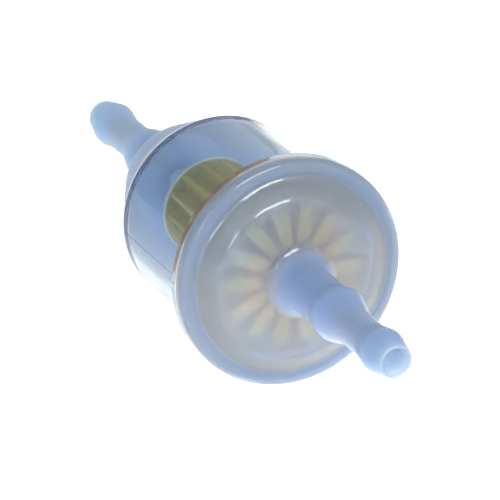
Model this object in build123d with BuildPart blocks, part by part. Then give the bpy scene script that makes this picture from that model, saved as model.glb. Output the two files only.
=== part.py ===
"""Inline fuel filter with stepped hose tails, in millimetres.

The filter's axis is X: fuel goes in at the -X end and comes out at the +X end. The origin is
the middle of the filter's length, on its axis. Z is up when the filter lies in a fuel line.
"""
import os

from build123d import *

# ---------------------------------------------------------------- driving dimensions
overall_length = 117.9
cap_length = 41.6  # from the joint between the two flanges to the outlet tip
flange_r = 19.25
cup_r = 16.25
cup_depth = 28.7  # from the joint to the sharp rim where the wall turns into the cone
cone_depth = 43.6  # from the joint to the flat end of the cone
cone_end_r = 9.7
wall = 1.3
bore_r = 2.0

# hose tail, the same at both ends; distances are measured inwards from its tip
tail_root_r = 3.95
tail_tip_r = 2.7
tip_bead_r, tip_bead_from, tip_bead_to = 3.7, 4.1, 5.3
neck_r, neck_from, neck_to = 3.1, 8.5, 15.0
root_bead_r, root_bead_from, root_bead_to = 4.5, 20.2, 21.9
root_from = 24.2
tip_fillet = 0.5

# flanges, with the paper collar held between them
cap_flange_t = 2.0
cap_flange_round = 1.4
cup_flange_t = 1.7
collar_t = 1.1
collar_r = 18.8
collar_hole_r = 12.4

# dome of the cap
dome_base_r, dome_base_x = 16.0, 2.1
dome_shoulder_r, dome_shoulder_x = 12.9, 4.3
dome_face_r, dome_face_x = 5.6, 6.3
dome_wall = 1.4
dome_bore_x = 6.6  # where the open inside of the dome has narrowed to the tail's bore

# filter element
pleats = 14
paper_t = 0.3
element_x = -29.0  # closed end of the paper, from the joint
element_r = 8.1  # crest radius at that end
flare_x, flare_r = -6.0, 9.9  # where the crests start to open out towards the collar
stations = [  # distance from the joint, crest radius, crest half-width, valley radius, valley half-width
    (element_x, element_r, 0.4, 6.2, 0.35),
    (-13.0, 8.9, 0.45, 6.1, 0.35),
    (flare_x, flare_r, 0.6, 5.8, 0.4),
    (-collar_t, 12.1, 0.95, 5.4, 0.5),
    (1.6, 12.2, 1.1, 5.2, 0.55),
    (3.2, 10.0, 1.1, 5.0, 0.6),
]
disc_r = 8.5
disc_t = 0.9
seam_angle = 154.4
seam_w = 0.5
seam_t = 0.2

# ---------------------------------------------------------------- derived
joint_x = overall_length / 2 - cap_length
outlet_tip_x = overall_length / 2
inlet_tip_x = -overall_length / 2
collar_plane_x = joint_x - collar_t


def tail_points(tip_x, inward):
    """Outside of a hose tail from its tip to its root: inward is -1 at the outlet, +1 at the inlet."""
    steps = [
        (0.0, 0.0),
        (0.0, tail_tip_r),
        (tip_bead_from, tip_bead_r),
        (tip_bead_to, tip_bead_r),
        (neck_from, neck_r),
        (neck_to, neck_r),
        (root_bead_from, root_bead_r),
        (root_bead_to, root_bead_r),
        (root_from, tail_root_r),
    ]
    return [(tip_x + inward * distance, radius) for distance, radius in steps]


def from_joint(*points):
    """Outline points given as (distance from the joint, radius), placed on the filter's axis."""
    return [(joint_x + x, radius) for x, radius in points]


def tip_edges(part, tip_x):
    """The outer circle of a tail's tip, which is moulded rounded."""
    on_tip = part.edges().filter_by(GeomType.CIRCLE).filter_by_position(Axis.X, tip_x - 0.01, tip_x + 0.01)
    return on_tip.sort_by(SortBy.RADIUS)[-1:]


# ---------------------------------------------------------------- outlet cap
with BuildPart() as outlet_cap:
    with BuildSketch(Plane.XY):
        with BuildLine():
            tail = Polyline(*tail_points(outlet_tip_x, -1), (joint_x + 9.6, tail_root_r))
            root = Spline(
                tail @ 1,
                (joint_x + dome_face_x, dome_face_r),
                tangents=[(-1, 0), (-0.27, 1)],
                tangent_scalars=[0.6, 0.6],
            )
            face = Line(root @ 1, (joint_x + dome_shoulder_x, dome_shoulder_r))
            shoulder = Spline(face @ 1, (joint_x + dome_base_x, dome_base_r), tangents=[face % 1, (-1, 0.2)])
            flange_front = Line(shoulder @ 1, (joint_x + cap_flange_t, flange_r - cap_flange_round))
            edge = Spline(flange_front @ 1, (joint_x + 0.1, flange_r), tangents=[(-0.1, 1), (-1, 0)])
            Polyline(edge @ 1, (joint_x, flange_r), (joint_x, 0), (outlet_tip_x, 0))
        make_face()
    revolve(axis=Axis.X)
    with BuildSketch(Plane.XY):
        with BuildLine():
            inner_r = dome_base_r - dome_wall
            wall_foot = Polyline(*from_joint((0, 0), (0, inner_r), (dome_base_x - dome_wall, inner_r)))
            inner_shoulder = Spline(
                wall_foot @ 1,
                (joint_x + dome_shoulder_x - dome_wall, dome_shoulder_r - 0.3),
                tangents=[(1, -0.2), (0.28, -1)],
            )
            inner_face = (dome_face_x - dome_wall, 4.6)
            inner_end = from_joint(inner_face, (dome_bore_x, bore_r), (dome_bore_x, 0), (0, 0))
            Polyline(inner_shoulder @ 1, *inner_end)
        make_face()
    revolve(axis=Axis.X, mode=Mode.SUBTRACT)
    with BuildSketch(Plane.YZ.offset(joint_x)):
        Circle(bore_r)
    extrude(amount=cap_length, mode=Mode.SUBTRACT)
    fillet(tip_edges(outlet_cap, outlet_tip_x), tip_fillet)
outlet_cap.part.label = "outlet_cap"

# ---------------------------------------------------------------- inlet cup
with BuildPart() as inlet_cup:
    with BuildSketch(Plane.XY):
        with BuildLine():
            Polyline(
                *tail_points(inlet_tip_x, 1),
                *from_joint(
                    (-cone_depth - 2.0, tail_root_r),
                    (-cone_depth - 0.5, tail_root_r + 0.4),
                    (-cone_depth, tail_root_r + 1.6),
                    (-cone_depth, cone_end_r - 0.6),
                    (-cone_depth + 0.6, cone_end_r),
                    (-cup_depth - 0.2, cup_r - 0.12),
                    (-cup_depth + 0.2, cup_r),
                    (-cup_flange_t - 1.0, cup_r),
                    (-cup_flange_t, cup_r + 0.9),
                    (-cup_flange_t, flange_r - 0.4),
                    (-cup_flange_t + 0.4, flange_r),
                    (0, flange_r),
                    (0, 0),
                ),
                close=True,
            )
        make_face()
    revolve(axis=Axis.X)
    with BuildSketch(Plane.XY):
        with BuildLine():
            Polyline(
                *from_joint(
                    (0, 0),
                    (0, collar_r),
                    (-collar_t, collar_r),
                    (-collar_t, cup_r - wall + 0.4),
                    (-cup_flange_t - 0.6, cup_r - wall),
                    (-cup_depth, cup_r - wall),
                    (-cone_depth + 2.2, cone_end_r - 1.0),
                    (-cone_depth + 1.8, cone_end_r - 1.6),
                    (-cone_depth + 1.8, 0),
                ),
                close=True,
            )
        make_face()
    revolve(axis=Axis.X, mode=Mode.SUBTRACT)
    with BuildSketch(Plane.YZ.offset(inlet_tip_x)):
        Circle(bore_r)
    extrude(amount=overall_length - cap_length, mode=Mode.SUBTRACT)
    fillet(tip_edges(inlet_cup, inlet_tip_x), tip_fillet)
inlet_cup.part.label = "inlet_cup"

# ---------------------------------------------------------------- paper collar
with BuildPart() as collar_ring:
    with BuildSketch(Plane.YZ.offset(collar_plane_x)):
        Circle(collar_r)
        Circle(collar_hole_r, mode=Mode.SUBTRACT)
    extrude(amount=collar_t)
collar_ring.part.label = "collar_ring"


# ---------------------------------------------------------------- pleated paper
def pleat_outline(crest_r, crest_half, valley_r, valley_half):
    """One closed zigzag round the axis: each pleat has a narrow flat crest and a narrow flat valley."""
    points = []
    for index in range(pleats):
        crest_angle = seam_angle + 360 / pleats * index
        valley_angle = crest_angle + 180 / pleats
        corners = [
            (crest_r, -crest_half, crest_angle),
            (crest_r, crest_half, crest_angle),
            (valley_r, -valley_half, valley_angle),
            (valley_r, valley_half, valley_angle),
        ]
        for radius, across, angle in corners:
            corner = Vector(radius, across).rotate(Axis.Z, angle)
            points.append((corner.X, corner.Y))
    return points


with BuildPart() as pleated_paper:
    for x, crest_r, crest_half, valley_r, valley_half in stations:
        with BuildSketch(Plane.YZ.offset(joint_x + x)):
            Polygon(*pleat_outline(crest_r, crest_half, valley_r, valley_half - paper_t), align=None)
    loft(ruled=True)
    for x, crest_r, crest_half, valley_r, valley_half in stations:
        inside = pleat_outline(crest_r - paper_t, crest_half - paper_t, valley_r - paper_t, valley_half)
        with BuildSketch(Plane.YZ.offset(joint_x + x)):
            Polygon(*inside, align=None)
    loft(ruled=True, mode=Mode.SUBTRACT)
pleated_paper.part.label = "pleated_paper"

# ---------------------------------------------------------------- glued side seam
seam_out = Vector(0, 1, 0).rotate(Axis.X, seam_angle)
seam_plane = Plane(origin=(joint_x, 0, 0), x_dir=(1, 0, 0), z_dir=Vector(1, 0, 0).cross(seam_out))
seam_path = [(x, crest_r) for x, crest_r, *widths in stations if element_x < x <= flare_x]
first_x = element_x + 0.1
first_r = element_r + (seam_path[0][1] - element_r) * (first_x - element_x) / (seam_path[0][0] - element_x)
seam_path = [(first_x, first_r)] + seam_path
with BuildPart() as side_seam:
    with BuildSketch(seam_plane):
        with BuildLine():
            Polyline(*seam_path, *[(x, r + seam_t) for x, r in reversed(seam_path)], close=True)
        make_face()
    extrude(amount=seam_w / 2, both=True)
side_seam.part.label = "side_seam"

# ---------------------------------------------------------------- end disc
with BuildPart() as end_disc:
    with BuildSketch(Plane.YZ.offset(joint_x + element_x - disc_t)):
        Circle(disc_r)
    extrude(amount=disc_t)
end_disc.part.label = "end_disc"

# ---------------------------------------------------------------- files
os.makedirs("parts", exist_ok=True)
for builder in (outlet_cap, inlet_cup, collar_ring, pleated_paper, side_seam, end_disc):
    export_step(builder.part, f"parts/{builder.part.label}.step")
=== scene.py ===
"""Looks of the in-line fuel filter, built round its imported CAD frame.

The filter's axis is X and its outlet is at +X. Outlines are in millimetres as (distance from the
joint, radius, corner radius), where the joint is the plane in which the two flanges meet and
distances grow towards the outlet. The meshes themselves are in metres, in the row frame.
"""
import math
import random

import bmesh
import bpy
from mathutils import Matrix, Vector


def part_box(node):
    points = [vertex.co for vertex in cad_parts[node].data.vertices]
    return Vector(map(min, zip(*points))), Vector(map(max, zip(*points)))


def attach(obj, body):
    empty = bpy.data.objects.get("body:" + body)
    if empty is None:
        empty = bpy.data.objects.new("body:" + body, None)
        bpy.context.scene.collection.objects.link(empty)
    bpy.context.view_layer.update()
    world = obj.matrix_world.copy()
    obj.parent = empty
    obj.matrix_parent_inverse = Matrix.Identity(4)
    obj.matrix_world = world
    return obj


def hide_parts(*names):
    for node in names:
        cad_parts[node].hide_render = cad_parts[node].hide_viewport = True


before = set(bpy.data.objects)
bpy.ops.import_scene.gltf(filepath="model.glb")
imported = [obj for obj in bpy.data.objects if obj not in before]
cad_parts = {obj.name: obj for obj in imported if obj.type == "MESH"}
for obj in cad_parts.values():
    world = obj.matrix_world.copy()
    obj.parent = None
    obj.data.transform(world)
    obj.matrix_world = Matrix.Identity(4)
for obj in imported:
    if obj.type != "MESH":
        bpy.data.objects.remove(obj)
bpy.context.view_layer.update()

MM = 0.001

# ---------------------------------------------------------------- places, all read from the frame
cap_low, cap_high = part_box("outlet_cap")
cup_low, cup_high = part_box("inlet_cup")
collar_low, collar_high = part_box("collar_ring")
paper_low, paper_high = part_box("pleated_paper")
disc_low, disc_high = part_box("end_disc")
seam_low, seam_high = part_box("side_seam")

joint_x = cup_high.x


def from_joint(x):
    """Distance of a place in the row frame from the joint, in millimetres."""
    return (x - joint_x) / MM


flange_r = cap_high.z / MM
collar_r = collar_high.z / MM
collar_t = (collar_high.x - collar_low.x) / MM
outlet_tip = from_joint(cap_high.x)
inlet_tip = from_joint(cup_low.x)
paper_from = from_joint(paper_low.x)
paper_to = from_joint(paper_high.x)
disc_from = from_joint(disc_low.x)
disc_to = from_joint(disc_high.x)
disc_r = disc_high.z / MM
seam_from = from_joint(seam_low.x)
seam_to = from_joint(seam_high.x)
seam_middle = (seam_low + seam_high) / 2
seam_angle = math.atan2(seam_middle.z, seam_middle.y)

# ---------------------------------------------------------------- outlines
TAIL = [  # from the tip inwards, radius, corner radius
    (0.0, 2.7, 0.75),
    (4.4, 3.73, 1.8),
    (5.2, 3.73, 1.8),
    (8.6, 3.1, 6.0),
    (15.2, 3.1, 8.0),
    (20.4, 4.52, 2.2),
    (21.7, 4.52, 1.8),
    (24.3, 3.95, 3.5),
]
BORE_R = 2.0
MOUTH_R = 2.25  # the passage's mouth, widened by its rounded edge
MOUTH_DEPTH = 1.6
CAP_WALL_FOOT = 14.6
CUP_INNER_R = 14.95
CUP_R = 16.25
CUP_DEPTH = 28.6
CUP_FLANGE_T = 1.7
CONE_DEPTH = 43.6
CONE_WALL = 1.8


def tail(tip, inward):
    """Outline of a hose tail from its tip to its root."""
    return [(tip + inward * distance, radius, corner) for distance, radius, corner in TAIL]


CAP_OUTLINE = (
    [(0.0, CAP_WALL_FOOT, 0.1), (0.0, flange_r - 0.05, 0.12), (0.25, flange_r, 0.3)]
    + [(1.95, flange_r, 1.45), (2.05, 16.8, 2.8), (4.35, 13.7, 3.0), (6.65, 4.1, 3.4)]
    + tail(outlet_tip, -1)[::-1]
    + [(outlet_tip, MOUTH_R, 0.3), (outlet_tip - MOUTH_DEPTH, BORE_R, 2.0), (6.6, BORE_R, 0.6)]
    + [(4.9, 4.6, 1.6), (2.9, 12.6, 1.6), (0.9, CAP_WALL_FOOT, 0.8)]
)
CUP_OUTLINE = (
    [(0.0, collar_r, 0.08), (-collar_t, collar_r, 0.08), (-collar_t, 15.35, 0.3)]
    + [(-2.3, CUP_INNER_R, 0.6), (-CUP_DEPTH, CUP_INNER_R, 1.6), (CONE_WALL - CONE_DEPTH, 8.5, 1.2)]
    + [(CONE_WALL - CONE_DEPTH, BORE_R, 0.6), (inlet_tip + MOUTH_DEPTH, BORE_R, 2.0)]
    + [(inlet_tip, MOUTH_R, 0.3)]
    + tail(inlet_tip, 1)
    + [(-CONE_DEPTH, 3.95, 1.4), (-CONE_DEPTH, 9.65, 0.7), (-CUP_DEPTH, CUP_R, 0.25)]
    + [(-CUP_FLANGE_T, CUP_R, 0.9), (-CUP_FLANGE_T, flange_r, 0.4), (0.0, flange_r, 0.12)]
)


# ---------------------------------------------------------------- mesh helpers
def rounded(outline, turn=9.0):
    """A closed outline's points, its corners made into arcs with a point every `turn` degrees."""
    points = []
    for index, (x, y, radius) in enumerate(outline):
        corner = Vector((x, y))
        before = Vector(outline[index - 1][:2]) - corner
        after = Vector(outline[(index + 1) % len(outline)][:2]) - corner
        half = before.angle(after) / 2
        if radius <= 0 or math.pi / 2 - half < 1e-3:
            points.append(corner)
            continue
        room = 0.49 * min(before.length, after.length)
        reach = min(radius / math.tan(half), room)
        radius = reach * math.tan(half)
        centre = corner + (before.normalized() + after.normalized()).normalized() * (radius / math.sin(half))
        first = corner + before.normalized() * reach - centre
        last = corner + after.normalized() * reach - centre
        sweep = math.atan2(first.x * last.y - first.y * last.x, first.dot(last))
        steps = max(2, math.ceil(abs(math.degrees(sweep)) / turn))
        points += [centre + Matrix.Rotation(sweep * step / steps, 2) @ first for step in range(steps + 1)]
    return points


def make_mesh(name, vertices, faces, crease=38.0):
    """A shown piece from points in millimetres; edges sharper than `crease` degrees stay sharp."""
    mesh = bpy.data.meshes.new(name)
    mesh.from_pydata([Vector(v) * MM for v in vertices], [], faces)
    shape = bmesh.new()
    shape.from_mesh(mesh)
    bmesh.ops.remove_doubles(shape, verts=shape.verts, dist=1e-7)
    bmesh.ops.delete(shape, geom=[edge for edge in shape.edges if not edge.link_faces], context="EDGES")
    bmesh.ops.recalc_face_normals(shape, faces=shape.faces)
    shape.to_mesh(mesh)
    shape.free()
    mesh.polygons.foreach_set("use_smooth", [True] * len(mesh.polygons))
    mesh.set_sharp_from_angle(angle=math.radians(crease))
    piece = bpy.data.objects.new(name, mesh)
    bpy.context.scene.collection.objects.link(piece)
    return piece


def grid_faces(rows, columns, close_rows=True, close_columns=True):
    """Quads between neighbouring points of a grid of rows x columns."""
    faces = []
    for row in range(rows if close_rows else rows - 1):
        for column in range(columns if close_columns else columns - 1):
            here = row * columns
            over = (row + 1) % rows * columns
            along = (column + 1) % columns
            faces.append((here + column, here + along, over + along, over + column))
    return faces


def on_axis(distance, radius, angle):
    """A point in millimetres in the row frame, from its distance from the joint, radius and angle."""
    return (joint_x / MM + distance, radius * math.cos(angle), radius * math.sin(angle))


def lathe(name, outline, angles, lift=None):
    """A closed outline turned round the axis. lift(distance, radius, angle) adds to the radius."""
    points = rounded(outline)
    vertices = []
    for angle in angles:
        for x, radius in points:
            extra = lift(x, radius, angle) if lift else 0.0
            vertices.append(on_axis(x, radius + extra, angle))
    return make_mesh(name, vertices, [face[::-1] for face in grid_faces(len(angles), len(points))])


def turns(count, extra=()):
    """`count` even angles round the axis, with the extra ones put in among them."""
    even = [2 * math.pi * index / count for index in range(count)]
    near = math.pi / count
    kept = [angle for angle in even if all(abs(angle - other) > near for other in extra)]
    return sorted(kept + list(extra))


# ---------------------------------------------------------------- the two shells
ROUND = 192  # points round the axis
PARTING_ANGLE = math.radians(4.5)
PARTING_LINES = (PARTING_ANGLE, math.radians(102.0), math.radians(184.5))
LINE_HEIGHT = 0.03
LINE_HALF_WIDTH = 0.14 / CUP_R


def parting_lift(x, radius, angle):
    """The fine raised parting lines down the cup's wall."""
    on_wall = radius > CUP_R - 0.02 and -CUP_DEPTH + 0.1 < x < -2.4
    on_line = any(abs(angle - line) < 1e-6 for line in PARTING_LINES)
    return LINE_HEIGHT if on_wall and on_line else 0.0


line_angles = [line + side * LINE_HALF_WIDTH for line in PARTING_LINES for side in (-1, 0, 1)]
cup = lathe("cup_shell", CUP_OUTLINE, turns(ROUND, line_angles), parting_lift)
cap = lathe("cap_shell", CAP_OUTLINE, turns(ROUND))

# ---------------------------------------------------------------- collar
COLLAR_HOLE_R = 12.45
COLLAR_GAP = 0.02  # between the card and the plastic it is held in
COLLAR_FRONT = -COLLAR_GAP
COLLAR_BACK = COLLAR_GAP - collar_t
collar = lathe(
    "card_collar",
    [(COLLAR_FRONT, COLLAR_HOLE_R, 0.15), (COLLAR_FRONT, collar_r - 0.05, 0.15)]
    + [(COLLAR_BACK, collar_r - 0.05, 0.15), (COLLAR_BACK, COLLAR_HOLE_R, 0.15)],
    turns(ROUND),
)

# ---------------------------------------------------------------- pleated paper
PLEATS = 14
PAPER_T = 0.3
PAPER_ROWS = 60
PAPER_TOP = paper_to - 0.35  # where the sheet ends and the petals lie over it
STATIONS = [  # distance from the joint, crest radius, crest half-width, valley radius, valley half-width
    (paper_from, 8.1, 0.4, 6.2, 0.35),
    (-13.0, 8.9, 0.45, 6.1, 0.35),
    (-6.0, 9.9, 0.6, 5.8, 0.4),
    (-1.1, 12.1, 0.95, 5.4, 0.5),
    (1.6, 12.15, 1.1, 5.2, 0.55),
    (PAPER_TOP, 10.2, 1.1, 5.0, 0.6),
]
PETAL_FROM = 5.3
PETAL_TO = 11.5
PETAL_STEPS = 16
PETAL_NARROW = 0.62  # share of the full width at the inner end
PETAL_END_STEPS = 3  # steps over which the outer end rounds off
PETAL_DROOP = 0.012  # how fast the petal falls away outwards, per millimetre squared
PETAL_SIDE = [(-1.15, -0.3), (-1.1, -0.02), (-0.6, 0.12), (-0.12, 0.04), (0.0, -0.22)]  # across, height
PETAL_SECTION = (
    PETAL_SIDE
    + [(-across, height) for across, height in PETAL_SIDE[-2::-1]]
    + [(0.6, -0.35), (0.0, -0.5), (-0.6, -0.35)]
)
WEB = [(-0.35, 8.0), (-0.35, 12.38), (-0.75, 12.38), (-0.75, 8.0)]  # distance from the joint, radius
WEB_ROUND = 140


def station(x):
    """Crest and valley sizes at a distance from the joint, in proportion between the stations."""
    for low, high in zip(STATIONS, STATIONS[1:]):
        if x <= high[0]:
            share = max(0.0, (x - low[0]) / (high[0] - low[0]))
            return [a + (b - a) * share for a, b in zip(low[1:], high[1:])]
    return list(STATIONS[-1][1:])


def pleat_corners(sizes, inset, wobble, x):
    """Corners of the zigzag round the axis at one station, moved inwards by `inset`."""
    crest_r, crest_half, valley_r, valley_half = sizes
    corners = []
    for index in range(PLEATS):
        drop, lean, phase = wobble[index]
        crest_angle = seam_angle + 2 * math.pi * index / PLEATS
        crest_angle += lean * math.sin(x * 0.21 + phase)
        valley_angle = seam_angle + 2 * math.pi * (index + 0.5) / PLEATS
        top = crest_r - inset - drop * (1 + math.sin(x * 0.33 + phase)) / 2
        for radius, across, angle in (
            (top, -(crest_half - inset), crest_angle),
            (top, crest_half - inset, crest_angle),
            (valley_r - inset, -(valley_half + inset), valley_angle),
            (valley_r - inset, valley_half + inset, valley_angle),
        ):
            turn = Matrix.Rotation(angle, 2)
            corners.append(turn @ Vector((radius, across)))
    return corners


def fold_line(corners, radius=0.35, flank=7):
    """The zigzag with rounded folds: the same number of points whatever its size."""
    points = []
    count = len(corners)
    for index, corner in enumerate(corners):
        before = corners[index - 1] - corner
        after = corners[(index + 1) % count] - corner
        reach = min(radius, 0.45 * before.length, 0.45 * after.length)
        start = corner + before.normalized() * reach
        end = corner + after.normalized() * reach
        for step in range(4):
            t = step / 3
            points.append(start * (1 - t) ** 2 + corner * 2 * t * (1 - t) + end * t ** 2)
        if index % 2 == 1:
            following = corners[(index + 1) % count]
            stop = following + (corner - following).normalized() * reach
            points += [end.lerp(stop, step / flank) for step in range(1, flank)]
    return points


def sheet_rows(wobble):
    """Zigzags down the outside of the sheet and back up its inside, as points in the row frame."""
    lengths = [paper_from + (PAPER_TOP - paper_from) * index / PAPER_ROWS for index in range(PAPER_ROWS + 1)]
    rows = []
    for inset, order in ((0.0, lengths), (PAPER_T, lengths[::-1])):
        for x in order:
            line = fold_line(pleat_corners(station(x), inset, wobble, x))
            rows.append([(joint_x / MM + x, point.x, point.y) for point in line])
    return rows


def petal_points(angle, width, reach):
    """A pinched fold that lies over a pleat's outlet end, as sections from its inner end outwards."""
    turn = Matrix.Rotation(angle, 2)
    points = []
    for step in range(PETAL_STEPS + 1):
        radius = PETAL_FROM + (PETAL_TO - PETAL_FROM) * step / PETAL_STEPS
        opened = math.sin(math.pi * min(1.0, 0.18 + step / 12) / 2)
        taper = PETAL_NARROW + (1 - PETAL_NARROW) * opened
        taper *= 1.0 - 0.16 * max(0, step - PETAL_STEPS + PETAL_END_STEPS)
        height = paper_to - 0.16 - PETAL_DROOP * (radius - PETAL_FROM) ** 2
        for across, lift in PETAL_SECTION:
            place = turn @ Vector((radius + reach, across * width * taper))
            points.append((joint_x / MM + height + lift, place.x, place.y))
    return points


def make_paper():
    """The pleated sheet, a petal over each pleat's outlet end, and the thin web round the petals."""
    rng = random.Random(7)
    wobble = []
    for _ in range(PLEATS):
        drop = rng.uniform(0.05, 0.3)
        lean = math.radians(rng.uniform(0.3, 1.1))
        wobble.append((drop, lean, rng.uniform(0, 6.28)))
    wobble[0] = (0.0, 0.0, 0.0)  # the pleat with the seam is straight
    vertices = []
    faces = []

    def add(points, new_faces):
        first = len(vertices)
        vertices.extend(points)
        faces.extend(tuple(first + v for v in face) for face in new_faces)

    rows = sheet_rows(wobble)
    sheet_faces = [face[::-1] for face in grid_faces(len(rows), len(rows[0]))]
    add([point for row in rows for point in row], sheet_faces)
    count = len(PETAL_SECTION)
    petal_faces = grid_faces(PETAL_STEPS + 1, count, close_rows=False)
    petal_faces.append(tuple(range(count)))
    petal_faces.append(tuple(PETAL_STEPS * count + v for v in reversed(range(count))))
    for index in range(PLEATS):
        angle = seam_angle + 2 * math.pi * index / PLEATS + wobble[index][1] * rng.uniform(-2, 2)
        width = rng.uniform(0.92, 1.06)
        reach = rng.uniform(-0.25, 0.25)
        add(petal_points(angle, width, reach), petal_faces)
    around = [2 * math.pi * step / WEB_ROUND for step in range(WEB_ROUND)]
    web = [on_axis(x, radius, angle) for angle in around for x, radius in WEB]
    add(web, grid_faces(WEB_ROUND, len(WEB)))
    return make_mesh("pleated_element", vertices, faces, crease=50.0)


paper = make_paper()

# ---------------------------------------------------------------- end disc
disc = lathe(
    "element_end_disc",
    [(disc_from + 0.25, 0.0, 0.0), (disc_from + 0.25, 1.2, 0.2), (disc_from, 1.5, 0.15)]
    + [(disc_from, 5.6, 0.15), (disc_from + 0.2, 5.9, 0.15), (disc_from + 0.2, 6.8, 0.15)]
    + [(disc_from, 7.1, 0.15), (disc_from, disc_r, 0.3), (disc_to, disc_r, 0.2), (disc_to, 0.0, 0.0)],
    turns(160),
)


# ---------------------------------------------------------------- side seam
def make_seam():
    """A bead of glue along one crest, half round, a little uneven and thinner towards its ends."""
    phase = random.Random(3).uniform(0, 6.28)
    steps = 48
    section = [(math.cos(math.pi * k / 8), math.sin(math.pi * k / 8)) for k in range(9)]  # across, up
    turn = Matrix.Rotation(seam_angle, 2)
    vertices = []
    for step in range(steps + 1):
        x = seam_from + 0.02 + (seam_to - seam_from - 0.04) * step / steps
        end = min(1.0, 0.25 + 4.0 * min(step, steps - step) / steps)
        half = (0.2 + 0.03 * math.sin(x * 1.3 + phase)) * end
        high = (0.17 + 0.02 * math.sin(x * 2.1)) * end
        crest = station(x)[0]
        for across, up in section:
            place = turn @ Vector((crest - 0.02 + high * up, half * across))
            vertices.append((joint_x / MM + x, place.x, place.y))
    count = len(section)
    faces = grid_faces(steps + 1, count, close_rows=False)
    faces.append(tuple(range(count)))
    faces.append(tuple(steps * count + v for v in reversed(range(count))))
    return make_mesh("glue_bead", vertices, faces, crease=60.0)


seam = make_seam()


# ---------------------------------------------------------------- materials
def new_material(name):
    """A material with a Principled shader, and the tree it stands in."""
    material = bpy.data.materials.new(name)
    material.use_nodes = True
    return material, material.node_tree, material.node_tree.nodes["Principled BSDF"]


def noise(tree, scale, detail=3.0, stretch=(1, 1, 1), distortion=0.0):
    """Noise in the object's own space; scale is per metre."""
    place = tree.nodes.new("ShaderNodeTexCoord")
    mapping = tree.nodes.new("ShaderNodeMapping")
    mapping.inputs["Scale"].default_value = stretch
    texture = tree.nodes.new("ShaderNodeTexNoise")
    texture.inputs["Scale"].default_value = scale
    texture.inputs["Detail"].default_value = detail
    texture.inputs["Distortion"].default_value = distortion
    tree.links.new(place.outputs["Object"], mapping.inputs["Vector"])
    tree.links.new(mapping.outputs["Vector"], texture.inputs["Vector"])
    return texture.outputs["Fac"]


def ramp(tree, factor, *stops):
    """Colours at positions along a factor."""
    node = tree.nodes.new("ShaderNodeValToRGB")
    while len(node.color_ramp.elements) < len(stops):
        node.color_ramp.elements.new(0.5)
    for element, (position, colour) in zip(node.color_ramp.elements, stops):
        element.position = position
        element.color = (*colour, 1.0)
    tree.links.new(factor, node.inputs["Fac"])
    return node.outputs["Color"]


def span(tree, factor, low, high):
    """A factor's middle range stretched to low..high."""
    node = tree.nodes.new("ShaderNodeMapRange")
    node.inputs["From Min"].default_value = 0.3
    node.inputs["From Max"].default_value = 0.7
    node.inputs["To Min"].default_value = low
    node.inputs["To Max"].default_value = high
    tree.links.new(factor, node.inputs["Value"])
    return node.outputs["Result"]


def bump(tree, shader, height, distance, strength):
    """Fine relief on the shader's normal; distance in millimetres."""
    node = tree.nodes.new("ShaderNodeBump")
    node.inputs["Strength"].default_value = strength
    node.inputs["Distance"].default_value = distance * MM
    tree.links.new(height, node.inputs["Height"])
    tree.links.new(node.outputs["Normal"], shader.inputs["Normal"])


def share_between(tree, value, start, end):
    """0 where a value in metres is under `start` millimetres, 1 where it is over `end`."""
    step = tree.nodes.new("ShaderNodeMapRange")
    step.inputs["From Min"].default_value = start * MM
    step.inputs["From Max"].default_value = end * MM
    tree.links.new(value, step.inputs["Value"])
    return step


def radius_share(tree, start, end):
    """0 within `start` millimetres of the filter's axis, 1 beyond `end`, smooth between."""
    place = tree.nodes.new("ShaderNodeTexCoord")
    across = tree.nodes.new("ShaderNodeVectorMath")
    across.operation = "MULTIPLY"
    across.inputs[1].default_value = (0, 1, 1)
    length = tree.nodes.new("ShaderNodeVectorMath")
    length.operation = "LENGTH"
    tree.links.new(place.outputs["Object"], across.inputs[0])
    tree.links.new(across.outputs["Vector"], length.inputs[0])
    step = share_between(tree, length.outputs["Value"], start, end)
    step.interpolation_type = "SMOOTHSTEP"
    return step.outputs["Result"]


def axis_share(tree, start, end):
    """0 up to `start` millimetres from the joint along the axis, 1 from `end` on."""
    place = tree.nodes.new("ShaderNodeTexCoord")
    split = tree.nodes.new("ShaderNodeSeparateXYZ")
    tree.links.new(place.outputs["Object"], split.inputs["Vector"])
    step = share_between(tree, split.outputs["X"], joint_x / MM + start, joint_x / MM + end)
    return step.outputs["Result"]


def plane_share(tree, angle, start, end):
    """0 within `start` millimetres of the plane through the axis at an angle, 1 beyond `end`."""
    place = tree.nodes.new("ShaderNodeTexCoord")
    across = tree.nodes.new("ShaderNodeVectorMath")
    across.operation = "DOT_PRODUCT"
    across.inputs[1].default_value = (0, -math.sin(angle), math.cos(angle))
    size = tree.nodes.new("ShaderNodeMath")
    size.operation = "ABSOLUTE"
    tree.links.new(place.outputs["Object"], across.inputs[0])
    tree.links.new(across.outputs["Value"], size.inputs[0])
    return share_between(tree, size.outputs["Value"], start, end).outputs["Result"]


def blend_values(tree, share, low, high):
    """A value going from low to high with the share; each of the three is a number or a socket."""
    node = tree.nodes.new("ShaderNodeMix")
    for socket, value in ((node.inputs["Factor"], share), (node.inputs["A"], low), (node.inputs["B"], high)):
        if isinstance(value, float):
            socket.default_value = value
        else:
            tree.links.new(value, socket)
    return node.outputs["Result"]


def blend_colours(tree, share, first, second):
    """A colour going from the first socket to the second with the share."""
    node = tree.nodes.new("ShaderNodeMix")
    node.data_type = "RGBA"
    tree.links.new(share, node.inputs[0])  # the colour sockets share their names with the value ones
    tree.links.new(first, node.inputs[6])
    tree.links.new(second, node.inputs[7])
    return node.outputs[2]


def shade(colour, amount):
    """A colour made lighter or darker by a factor."""
    return tuple(channel * amount for channel in colour)


def warm(colour, amount):
    """A colour moved towards pink by a share, or towards blue by a negative one."""
    red, green, blue = colour
    return (red * (1 + amount), green, blue * (1 - amount))


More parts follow.
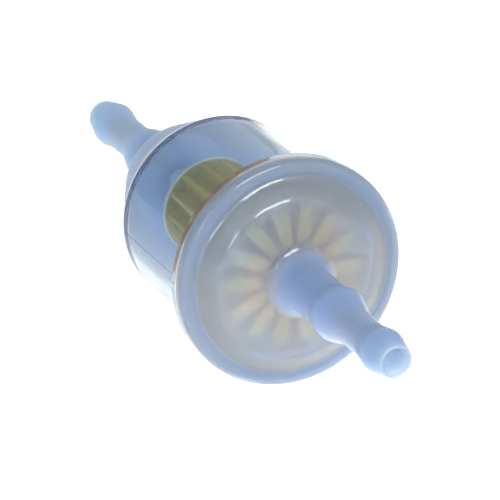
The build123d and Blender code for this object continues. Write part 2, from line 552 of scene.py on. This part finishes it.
def mottled(tree, flow, colour):
    """A colour that drifts between a little warmer and a little cooler."""
    return ramp(tree, flow, (0.35, warm(colour, 0.05)), (0.65, warm(colour, -0.05)))


PAINTED_LIGHT_PASSAGE_EDGE = (2.05, 2.3)  # radii between which one look gives way to the next
TAIL_EDGE = (4.2, 6.5)
FACE_EDGE = (7.5, 11.5)
OUTER_SKIN = (CUP_R - 0.6, CUP_R - 0.4)
FLANGE_EDGE = (16.3, 17.0)
CONE_EDGE = (-CUP_DEPTH - 3.0, -CUP_DEPTH - 1.0)  # distances from the joint
LINE_EDGE = (0.05, 0.15)  # distances from the parting plane


def shell(name, looks, face, rough, dull, ior, coat, line):
    """Moulded see-through plastic, milkier where it is thick.

    looks gives a colour and a share let through for each place. face is the wall's colour near the axis,
    rough and dull are the spans of roughness on the wall and on the cone behind it, and line is how dark
    the wall's outer skin is along the mould's parting plane.
    """
    material, tree, shader = new_material(name)
    shader.inputs["IOR"].default_value = ior
    shader.inputs["Coat Roughness"].default_value = 0.04
    shader.inputs["Coat IOR"].default_value = 1.45
    shader.inputs["Subsurface Weight"].default_value = 1.0
    shader.inputs["Subsurface Radius"].default_value = (0.8, 0.9, 1.0)
    shader.inputs["Subsurface Scale"].default_value = 8.0 * MM
    off_painted_light_passage = radius_share(tree, *PAINTED_LIGHT_PASSAGE_EDGE)
    off_tail = radius_share(tree, *TAIL_EDGE)
    on_flange = radius_share(tree, *FLANGE_EDGE)
    off_cone = axis_share(tree, *CONE_EDGE)

    flow = noise(tree, 90.0, 3.0, (0.5, 1, 1), 0.6)
    colours = {place: mottled(tree, flow, colour) for place, (colour, _) in looks.items()}
    skin = looks["wall"][0]
    dark_skin = ramp(tree, flow, (0.3, shade(skin, 0.95 * line)), (0.7, shade(skin, 1.05 * line)))
    off_line = plane_share(tree, PARTING_ANGLE, *LINE_EDGE)
    off_line = blend_values(tree, radius_share(tree, *OUTER_SKIN), 1.0, off_line)
    wall = blend_colours(tree, radius_share(tree, *FACE_EDGE), mottled(tree, flow, face), colours["wall"])
    wall = blend_colours(tree, off_line, dark_skin, wall)
    body = blend_colours(tree, off_cone, colours["cone"], wall)
    # The passage inside each tail is painted lighter than the tail: painted light in the bore, where shade
    # would fall.
    colour = blend_colours(tree, off_painted_light_passage, colours["painted_light_passage"], colours["tail"])
    colour = blend_colours(tree, off_tail, colour, body)
    colour = blend_colours(tree, on_flange, colour, colours["flange"])
    tree.links.new(colour, shader.inputs["Base Color"])

    shares = {place: through for place, (_, through) in looks.items()}
    through = blend_values(tree, off_painted_light_passage, shares["painted_light_passage"], shares["tail"])
    body_through = blend_values(tree, off_cone, shares["cone"], shares["wall"])
    through = blend_values(tree, off_tail, through, body_through)
    through = blend_values(tree, on_flange, through, shares["flange"])
    tree.links.new(through, shader.inputs["Transmission Weight"])

    cloud = noise(tree, 260.0)
    roughness = blend_values(tree, off_cone, span(tree, cloud, *dull), span(tree, cloud, *rough))
    tree.links.new(roughness, shader.inputs["Roughness"])
    body_coat = blend_values(tree, off_cone, 0.05, coat)
    tree.links.new(blend_values(tree, off_tail, 0.3 * coat, body_coat), shader.inputs["Coat Weight"])
    return material


def moulded(name, dark, light, rough, painted_highlight_rim=None):
    """Opaque plastic or glue with faint flow marks; the rim colour is painted round the end disc's outer
    edge as a painted highlight.
    """
    material, tree, shader = new_material(name)
    flow = noise(tree, 120.0, 3.0, (0.5, 1, 1), 0.6)
    colour = ramp(tree, flow, (0.3, dark), (0.7, light))
    if painted_highlight_rim:
        # a pale band painted round the disc's outer edge: a painted highlight
        edge = ramp(tree, flow, (0.3, shade(painted_highlight_rim, 0.94)), (0.7, painted_highlight_rim))
        colour = blend_colours(tree, radius_share(tree, disc_r - 0.3, disc_r - 0.1), colour, edge)
    tree.links.new(colour, shader.inputs["Base Color"])
    tree.links.new(span(tree, noise(tree, 260.0), *rough), shader.inputs["Roughness"])
    bump(tree, shader, noise(tree, 420.0, 2.0), 0.03, 0.2)
    return material


def fibrous(name, stops, rough, fibre_scale, relief):
    """Matt card with fibres and blotches."""
    material, tree, shader = new_material(name)
    blotch = noise(tree, 170.0, 4.0, (0.6, 1, 1), 0.5)
    fibre = noise(tree, fibre_scale, 6.0, (1, 1, 1), 0.3)
    mix = blend_values(tree, 0.45, blotch, fibre)
    tree.links.new(ramp(tree, mix, *stops), shader.inputs["Base Color"])
    tree.links.new(span(tree, fibre, *rough), shader.inputs["Roughness"])
    bump(tree, shader, fibre, relief, 0.5)
    return material


clear_plastic = shell(
    "clear_plastic_look",
    looks={
        # the passage's colour is painted lighter than the tail's, as painted light in the bore
        "painted_light_passage": ((0.50, 0.62, 0.92), 0.15),
        "tail": ((0.38, 0.54, 0.92), 0.15),
        "wall": ((0.78, 0.91, 0.97), 0.95),
        "cone": ((0.36, 0.50, 0.84), 0.20),
        "flange": ((0.80, 0.80, 0.84), 0.97),
    },
    face=(0.78, 0.91, 0.97),
    rough=(0.05, 0.09),
    dull=(0.45, 0.60),
    ior=1.12,
    coat=0.4,
    line=0.12,
)
milky_plastic = shell(
    "milky_plastic_look",
    looks={
        # the passage's colour is painted lighter than the tail's, as painted light in the bore
        "painted_light_passage": ((0.50, 0.62, 0.92), 0.15),
        "tail": ((0.31, 0.42, 0.68), 0.15),
        "wall": ((0.64, 0.74, 0.88), 0.77),
        "cone": ((0.64, 0.74, 0.88), 0.77),
        "flange": ((0.34, 0.44, 0.63), 0.45),
    },
    face=(0.70, 0.73, 0.81),
    rough=(0.18, 0.24),
    dull=(0.18, 0.24),
    ior=1.2,
    coat=1.0,
    line=1.0,
)


def paper_look():
    """Resin-treated filter paper: olive at the closed end, amber near the collar, cream on the petals."""
    material, tree, shader = new_material("filter_paper_look")
    blotch = noise(tree, 230.0, 4.0, (0.6, 1, 1), 0.5)
    fibre = noise(tree, 900.0, 6.0, (0.15, 1, 1), 0.3)
    along = axis_share(tree, paper_from, -4.0)
    for uneven in (span(tree, blotch, -0.25, 0.25), span(tree, fibre, -0.08, 0.08)):
        total = tree.nodes.new("ShaderNodeMath")
        tree.links.new(along, total.inputs[0])
        tree.links.new(uneven, total.inputs[1])
        along = total.outputs["Value"]
    side = ramp(
        tree,
        along,
        (0.1, (0.46, 0.35, 0.06)),
        (0.5, (0.61, 0.36, 0.06)),
        (0.85, (0.81, 0.35, 0.05)),
    )
    between_petals = ramp(tree, blotch, (0.3, (0.66, 0.50, 0.41)), (0.7, (0.76, 0.60, 0.50)))
    petals = ramp(tree, blotch, (0.3, (0.90, 0.71, 0.24)), (0.7, (0.98, 0.82, 0.34)))
    colour = blend_colours(tree, axis_share(tree, -2.5, -0.5), side, between_petals)
    colour = blend_colours(tree, axis_share(tree, 2.0, 2.4), colour, petals)
    tree.links.new(colour, shader.inputs["Base Color"])
    tree.links.new(span(tree, fibre, 0.75, 0.95), shader.inputs["Roughness"])
    bump(tree, shader, fibre, 0.08, 0.5)
    return material


filter_paper = paper_look()
collar_card = fibrous(
    "collar_card_look",
    stops=[(0.38, (0.34, 0.26, 0.18)), (0.5, (0.42, 0.33, 0.24)), (0.64, (0.50, 0.40, 0.30))],
    rough=(0.8, 0.95),
    fibre_scale=1400.0,
    relief=0.05,
)
# the end disc's pale rim colour is a painted highlight
end_disc_plastic = moulded(
    "end_disc_look", (0.36, 0.31, 0.08), (0.44, 0.38, 0.11), (0.35, 0.5), painted_highlight_rim=(0.74, 0.77, 0.78)
)
seam_glue = moulded("seam_glue_look", (0.55, 0.50, 0.22), (0.66, 0.60, 0.30), (0.3, 0.45))

PIECES = [
    (cap, "outlet_cap", "milky_plastic", milky_plastic),
    (cup, "inlet_cup", "clear_plastic", clear_plastic),
    (collar, "collar_ring", "collar_card", collar_card),
    (paper, "pleated_paper", "filter_paper", filter_paper),
    (disc, "end_disc", "end_disc_plastic", end_disc_plastic),
    (seam, "side_seam", "seam_glue", seam_glue),
]
for piece, node, slot, material in PIECES:
    piece.data.materials.append(material)
    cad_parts[node].data.materials.clear()
    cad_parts[node].data.materials.append(material)
    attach(piece, "root")
    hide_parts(node)


# ---------------------------------------------------------------- floor and light
FLOOR_GAP = 0.3
FLOOR_HALF = 600.0
FLOOR_STEPS = 12


def make_floor():
    """A wide flat floor just below the filter."""
    level = cap_low.z / MM - FLOOR_GAP
    places = [FLOOR_HALF * (2 * step / FLOOR_STEPS - 1) for step in range(FLOOR_STEPS + 1)]
    vertices = [(x, y, level) for x in places for y in places]
    return make_mesh("floor", vertices, grid_faces(len(places), len(places), False, False))


def grey(level):
    """A neutral colour."""
    return (level, level, level)


def floor_look():
    """White paper that glows a little so that it reads as plain white, with a painted pool of light that
    glows most of all under the flange.
    """
    material, tree, shader = new_material("floor_look")
    surface = ramp(tree, noise(tree, 6.0), (0.3, grey(0.50)), (0.7, grey(0.54)))
    tree.links.new(surface, shader.inputs["Base Color"])
    shader.inputs["Roughness"].default_value = 0.95
    shader.inputs["Specular IOR Level"].default_value = 0.1
    shader.inputs["Emission Strength"].default_value = 1.6
    # painted pool of light: the glow is brightest round a point on the floor under the flange
    spread = tree.nodes.new("ShaderNodeVectorMath")
    spread.operation = "DISTANCE"
    spread.inputs[1].default_value = (joint_x + 0.023, 0.0, cap_low.z)
    place = tree.nodes.new("ShaderNodeTexCoord")
    tree.links.new(place.outputs["Object"], spread.inputs[0])
    metres = spread.outputs["Value"]
    glow_with_painted_light_pool = ramp(tree, metres, (0.0, grey(1.0)), (0.05, grey(0.54)), (0.17, grey(0.54)), (0.6, grey(0.52)))
    tree.links.new(glow_with_painted_light_pool, shader.inputs["Emission Color"])
    return material


floor = make_floor()
floor.data.materials.append(floor_look())

world = bpy.data.worlds.new("studio")
world.use_nodes = True
background = world.node_tree.nodes["Background"]
background.inputs["Color"].default_value = (0.97, 0.98, 1.0, 1.0)
background.inputs["Strength"].default_value = 0.6
bpy.context.scene.world = world

LIGHTS = [  # name, direction towards the light, distance, width, height, watts
    ("softbox_front", (0.89, 0.09, 0.47), 0.45, 0.19, 0.09, 0.75),
    ("strip_left", (0.89, -0.41, 0.21), 0.50, 0.05, 0.12, 0.18),
    ("panel_back", (-0.85, 0.28, 0.45), 0.60, 0.44, 0.36, 0.20),
]
target = Vector((joint_x, 0, 0))
for name, direction, distance, width, height, watts in LIGHTS:
    lamp = bpy.data.lights.new(name, "AREA")
    lamp.shape = "RECTANGLE"
    lamp.size = width
    lamp.size_y = height
    lamp.energy = watts
    holder = bpy.data.objects.new(name, lamp)
    toward = Vector(direction).normalized()
    holder.location = target + toward * distance
    holder.rotation_euler = toward.to_track_quat("Z", "Y").to_euler()
    bpy.context.scene.collection.objects.link(holder)

# ---------------------------------------------------------------- camera
ELEVATION = math.radians(21.85)
AZIMUTH = math.radians(23.70)
DISTANCE = 0.9625
LENS = 433.4
SHIFT_LEFT = 5.34 * MM  # of the view's middle from the collar's back face
SHIFT_UP = 2.73 * MM
flat = math.cos(ELEVATION)
back = Vector((flat * math.cos(AZIMUTH), -flat * math.sin(AZIMUTH), math.sin(ELEVATION)))
right = Vector((math.sin(AZIMUTH), math.cos(AZIMUTH), 0))
up = back.cross(right)
aim = Vector((joint_x - collar_t * MM, 0, 0)) - right * SHIFT_LEFT + up * SHIFT_UP
lens = bpy.data.cameras.new("camera")
lens.lens = LENS
lens.sensor_width = 36.0
lens.clip_end = 10.0
camera = bpy.data.objects.new("camera", lens)
camera.matrix_world = Matrix((
    (right.x, up.x, back.x, aim.x + back.x * DISTANCE),
    (right.y, up.y, back.y, aim.y + back.y * DISTANCE),
    (right.z, up.z, back.z, aim.z + back.z * DISTANCE),
    (0, 0, 0, 1),
))
bpy.context.scene.collection.objects.link(camera)
bpy.context.scene.camera = camera
bpy.context.scene.view_settings.view_transform = "Standard"
